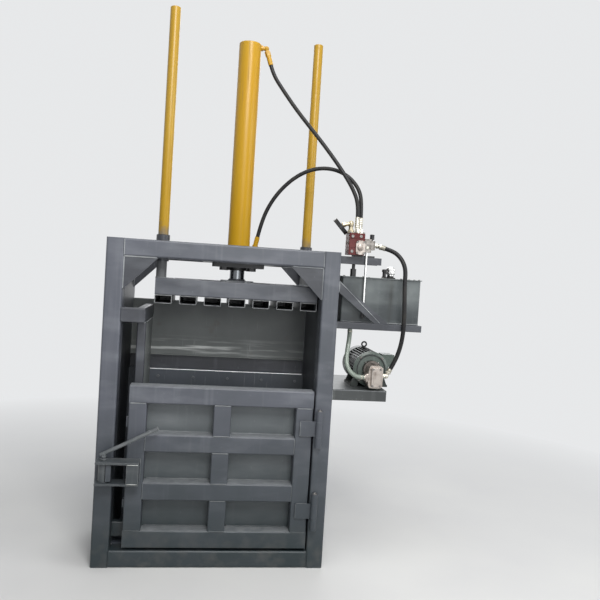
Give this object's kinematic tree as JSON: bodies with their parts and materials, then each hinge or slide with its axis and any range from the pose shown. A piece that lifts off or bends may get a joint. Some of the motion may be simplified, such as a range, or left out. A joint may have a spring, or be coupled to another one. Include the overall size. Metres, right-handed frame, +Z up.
{
  "type": "vertical hydraulic baling press",
  "caption": "Vertical hydraulic baling press: welded portal frame, platen on a top cylinder with guide rods, hinged chamber door with a latch, and a side-mounted power unit with hoses.",
  "frame": {"origin": "on the floor, at the centre of the rectangle formed by the four posts", "axes": "+X to the machine's right as seen from the door side, towards the power unit; +Y from the door side to the back; +Z up"},
  "size_m": [1.867, 0.76, 3.235],
  "materials": {
    "grey_paint": "semi-gloss, scuffed",
    "blue_grey_paint": "semi-gloss",
    "red_paint": "semi-gloss",
    "yellow_paint": "worn at the base",
    "worn_steel": "scuffed",
    "black_paint": "satin",
    "bright_steel": "satin",
    "rod_chrome": "polished",
    "brass": "satin",
    "cast_grey": "painted",
    "hose_rubber": "matt",
    "suction_plastic": "ribbed, clear grey",
    "black_plastic": "matt",
    "red_plastic": "gloss",
    "dial_glass": "clear"
  },
  "bodies": {
    "press": {"back_liner": "worn_steel", "back_rails": "grey_paint", "back_upper_plate": "grey_paint", "base_rails": "grey_paint", "bell_housing": "cast_grey", "brass_fittings": "brass", "chamber_floor": "worn_steel", "corner_gussets": "grey_paint", "cylinder_barrel": "yellow_paint", "cylinder_flange": "black_paint", "delivery_hose": "hose_rubber", "extend_hose": "hose_rubber", "fan_cowl": "blue_grey_paint", "filler_breather": "rod_chrome", "frame_beams": "grey_paint", "frame_bolts": "bright_steel", "frame_posts": "grey_paint", "gauge_glass": "dial_glass", "guide_sleeves": "grey_paint", "head_frame": "grey_paint", "hinge_posts": "worn_steel", "hose_fittings": "bright_steel", "latch_keeper": "worn_steel", "left_wall_frame": "grey_paint", "left_wall_liner": "worn_steel", "motor_frame": "blue_grey_paint", "motor_shelf": "grey_paint", "motor_shields": "blue_grey_paint", "oil_tank": "blue_grey_paint", "pressure_gauge": "black_paint", "pump_body": "cast_grey", "retract_hose": "hose_rubber", "side_panels": "grey_paint", "suction_hose": "suction_plastic", "tank_shelf": "grey_paint", "terminal_box": "blue_grey_paint", "valve_body": "red_paint", "valve_stand": "blue_grey_paint", "valve_subplate": "black_paint"},
    "platen": {"piston_rod": "rod_chrome", "platen_beams": "grey_paint", "platen_tubes": "grey_paint", "rod_plate": "grey_paint", "guide_rods": "yellow_paint"},
    "door": {"door_rails": "grey_paint", "door_stiles": "grey_paint", "door_skin": "grey_paint", "hinge_leaves": "worn_steel", "latch_bracket": "worn_steel"},
    "latch": {"latch_shaft": "worn_steel", "latch_lever": "worn_steel"},
    "control_lever": {"valve_lever": "bright_steel", "lever_grip": "red_plastic"},
    "spool": {"valve_spool": "bright_steel"},
    "motor_rotor": {"rotor": "bright_steel", "motor_fan": "black_plastic", "drive_gear": "bright_steel"},
    "pump_idler": {"driven_gear": "bright_steel"},
    "relief_adjuster": {"relief_knob": "black_plastic"},
    "gauge_needle": {"gauge_pointer": "black_paint"}
  },
  "joints": [
    {"name": "platen_slide", "type": "slide", "parent": "press", "child": "platen", "axis": [0, 0, -1], "range_m": [0, 1.05]},
    {"name": "door_swing", "type": "hinge", "parent": "press", "child": "door", "pos_m": [0.596, -0.352, 0.58], "axis": [0, 0, 1], "range_deg": [0, 170]},
    {"name": "latch_turn", "type": "hinge", "parent": "door", "child": "latch", "pos_m": [-0.614, -0.385, 0.568], "axis": [0, 0, -1], "range_deg": [0, 90]},
    {"name": "control_lever_tilt", "type": "hinge", "parent": "press", "child": "control_lever", "pos_m": [0.832, -0.272, 1.92], "axis": [0, 1, 0], "range_deg": [-14, 14], "stiffness_Nm_per_rad": 2.5},
    {"name": "spool_slide", "type": "slide", "parent": "press", "child": "spool", "axis": [1, 0, 0], "range_m": [-0.0065, 0.0065]},
    {"name": "motor_turn", "type": "hinge", "parent": "press", "child": "motor_rotor", "pos_m": [0.925, 0, 1.183], "axis": [0, 1, 0], "continuous": true},
    {"name": "pump_idler_turn", "type": "hinge", "parent": "press", "child": "pump_idler", "pos_m": [0.925, -0.28, 1.135], "axis": [0, 1, 0], "continuous": true},
    {"name": "relief_turn", "type": "hinge", "parent": "press", "child": "relief_adjuster", "pos_m": [0.871, -0.2275, 1.97], "axis": [0, 0, 1], "continuous": true},
    {"name": "gauge_turn", "type": "hinge", "parent": "press", "child": "gauge_needle", "pos_m": [0.67, -0.245, 2.038], "axis": [-0.7178, 0.1923, -0.6691], "range_deg": [0, 270]}
  ],
  "couplings": [
    {"joint": "spool_slide", "follows": "control_lever_tilt", "m_per_rad": 0.025},
    {"joint": "pump_idler_turn", "follows": "motor_turn", "ratio": -1}
  ]
}
